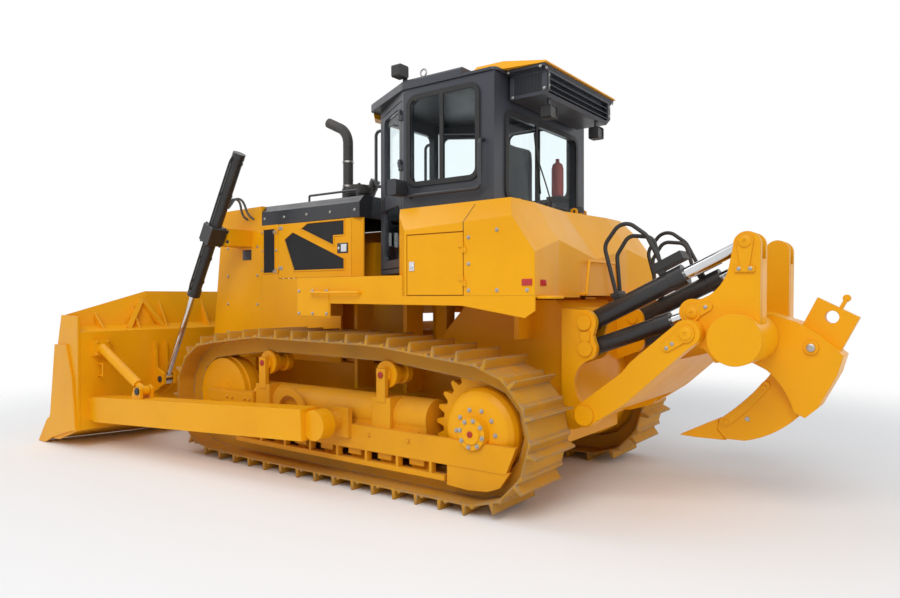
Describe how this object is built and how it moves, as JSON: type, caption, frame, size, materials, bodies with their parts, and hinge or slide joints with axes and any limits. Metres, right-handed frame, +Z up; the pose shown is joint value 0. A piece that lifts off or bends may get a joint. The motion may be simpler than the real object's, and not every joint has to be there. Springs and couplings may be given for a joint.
{
  "type": "crawler bulldozer with ripper",
  "caption": "Crawler bulldozer with a semi-U blade, closed cab, steel tracks and a rear parallelogram ripper with one shank.",
  "frame": {"origin": "on the ground under the middle of the machine's overall box, at the grouser tips", "axes": "+X forward towards the blade, +Y to the operator's left, +Z up"},
  "size_m": [7.377, 3.768, 3.465],
  "materials": {
    "body_paint": "satin",
    "black_paint": "satin",
    "cab_paint": "satin",
    "exhaust_black": "matte",
    "engine_paint": "satin",
    "track_steel": "satin",
    "glass": "gloss",
    "chrome": "polished",
    "cab_plastic": "matte",
    "seat_cloth": "matte",
    "lens": "gloss",
    "hose_rubber": "matte",
    "seal_rubber": "matte"
  },
  "bodies": {
    "machine": {"ac_box": "cab_paint", "cab_frame": "cab_paint", "cab_glass": "glass", "cab_interior": "cab_plastic", "cab_roof": "cab_paint", "carrier_rollers": "body_paint", "drive_covers": "body_paint", "engine_block": "engine_paint", "exhaust": "exhaust_black", "fender_left": "body_paint", "fender_right": "body_paint", "fillers": "cab_plastic", "final_drives": "body_paint", "grab_rails": "black_paint", "hood": "black_paint", "idlers": "body_paint", "lamp_glass": "lens", "main_frame": "body_paint", "precleaner": "cab_plastic", "radiator_grille": "black_paint", "radiator_guard": "body_paint", "rear_tank": "body_paint", "ripper_bracket": "body_paint", "roof_caps": "body_paint", "seat": "seat_cloth", "side_panels": "body_paint", "sprockets": "body_paint", "track_frame_left": "body_paint", "track_frame_right": "body_paint", "track_left": "track_steel", "track_right": "track_steel", "track_rollers": "body_paint", "window_frames": "seal_rubber", "work_lamps": "cab_plastic"},
    "blade": {"mouldboard": "body_paint", "cutting_edges": "body_paint", "push_arm_left": "body_paint", "push_arm_right": "body_paint", "struts": "body_paint"},
    "blade_lift_barrels": {"lift_barrels": "black_paint"},
    "blade_lift_rods": {"lift_rods": "chrome"},
    "ripper_arm": {"ripper_arm": "body_paint"},
    "ripper_pins": {"ripper_pins": "body_paint"},
    "ripper_beam": {"ripper_beam": "body_paint", "ripper_shank": "body_paint", "ripper_tip": "body_paint"},
    "ripper_lift_barrels": {"ripper_lift_barrels": "black_paint"},
    "ripper_lift_rods": {"ripper_lift_rods": "chrome"},
    "ripper_tilt_pins": {"ripper_tilt_pins": "body_paint"},
    "ripper_tilt_barrels": {"ripper_tilt_barrels": "black_paint", "ripper_hoses": "hose_rubber"},
    "ripper_tilt_rods": {"ripper_tilt_rods": "chrome"},
    "engine_door_left": {"engine_door_left": "body_paint"},
    "engine_door_right": {"engine_door_right": "body_paint"},
    "cab_door_left": {"cab_door_left": "cab_paint", "door_glass_left": "glass"},
    "cab_door_right": {"cab_door_right": "cab_paint", "door_glass_right": "glass"},
    "tank_door_left": {"tank_door_left": "body_paint"},
    "tank_door_right": {"tank_door_right": "body_paint"}
  },
  "joints": [
    {"name": "blade_lift", "type": "hinge", "parent": "machine", "child": "blade", "pos_m": [-0.12, 0, 0.52], "axis": [0, -1, 0], "range_deg": [-8, 19]},
    {"name": "blade_lift_barrel_swing", "type": "hinge", "parent": "machine", "child": "blade_lift_barrels", "pos_m": [1.92, 0, 2.16], "axis": [0, -1, 0], "range_deg": [-7.4, 16.8]},
    {"name": "blade_lift_rod_travel", "type": "slide", "parent": "blade_lift_barrels", "child": "blade_lift_rods", "axis": [0.4881, 0, -0.8728], "range_m": [-0.866, 0.367]},
    {"name": "ripper_lift", "type": "hinge", "parent": "machine", "child": "ripper_arm", "pos_m": [-2.035, 0, 0.68], "axis": [0, -1, 0], "range_deg": [-5, 70]},
    {"name": "ripper_pin_turn", "type": "hinge", "parent": "ripper_arm", "child": "ripper_pins", "pos_m": [-2.75, 0, 1.283], "axis": [0, -1, 0], "range_deg": [-80.7, 6.2]},
    {"name": "ripper_pitch", "type": "hinge", "parent": "ripper_pins", "child": "ripper_beam", "pos_m": [-2.75, 0, 1.283], "axis": [0, -1, 0], "range_deg": [-12, 12]},
    {"name": "ripper_lift_barrel_swing", "type": "hinge", "parent": "machine", "child": "ripper_lift_barrels", "pos_m": [-1.994, 0, 1.146], "axis": [0, -1, 0], "range_deg": [-5.1, 64.4]},
    {"name": "ripper_lift_rod_travel", "type": "slide", "parent": "ripper_lift_barrels", "child": "ripper_lift_rods", "axis": [-0.9421, 0, 0.3352], "range_m": [-0.03, 0.374]},
    {"name": "ripper_tilt_pin_turn", "type": "hinge", "parent": "machine", "child": "ripper_tilt_pins", "pos_m": [-1.985, 0, 1.336], "axis": [0, -1, 0], "range_deg": [-4, 49.7]},
    {"name": "ripper_tilt_barrel_swing", "type": "hinge", "parent": "ripper_tilt_pins", "child": "ripper_tilt_barrels", "pos_m": [-1.985, 0, 1.336], "axis": [0, -1, 0], "range_deg": [-6, 6]},
    {"name": "ripper_tilt_rod_travel", "type": "slide", "parent": "ripper_tilt_barrels", "child": "ripper_tilt_rods", "axis": [-0.8973, 0, 0.4413], "range_m": [-0.084, 0.084]},
    {"name": "engine_door_left_swing", "type": "hinge", "parent": "machine", "child": "engine_door_left", "pos_m": [1.3715, 0.608, 1.988], "axis": [0, 0, -1], "range_deg": [0, 100]},
    {"name": "engine_door_right_swing", "type": "hinge", "parent": "machine", "child": "engine_door_right", "pos_m": [1.3715, -0.608, 1.988], "axis": [0, 0, 1], "range_deg": [0, 100]},
    {"name": "cab_door_left_swing", "type": "hinge", "parent": "machine", "child": "cab_door_left", "pos_m": [-0.39154, 0.77045, 2.46], "axis": [0, 0, 1], "range_deg": [0, 80]},
    {"name": "cab_door_right_swing", "type": "hinge", "parent": "machine", "child": "cab_door_right", "pos_m": [-0.39154, -0.77045, 2.46], "axis": [0, 0, -1], "range_deg": [0, 80]},
    {"name": "tank_door_left_swing", "type": "hinge", "parent": "machine", "child": "tank_door_left", "pos_m": [-1.314, 1.158, 1.76], "axis": [0, 0, 1], "range_deg": [0, 95]},
    {"name": "tank_door_right_swing", "type": "hinge", "parent": "machine", "child": "tank_door_right", "pos_m": [-1.314, -1.158, 1.76], "axis": [0, 0, -1], "range_deg": [0, 95]}
  ],
  "couplings": [
    {"joint": "blade_lift_barrel_swing", "follows": "blade_lift", "ratio": 0.857},
    {"joint": "blade_lift_rod_travel", "follows": "blade_lift", "m_per_rad": -2.6},
    {"joint": "ripper_pin_turn", "follows": "ripper_lift", "ratio": -1.1454},
    {"joint": "ripper_lift_barrel_swing", "follows": "ripper_lift", "ratio": 0.9132},
    {"joint": "ripper_lift_rod_travel", "follows": "ripper_lift", "m_per_rad": 0.3029},
    {"joint": "ripper_tilt_pin_turn", "follows": "ripper_lift", "ratio": 0.7025},
    {"joint": "ripper_tilt_barrel_swing", "follows": "ripper_pitch", "ratio": 0.458},
    {"joint": "ripper_tilt_rod_travel", "follows": "ripper_pitch", "m_per_rad": 0.384}
  ]
}
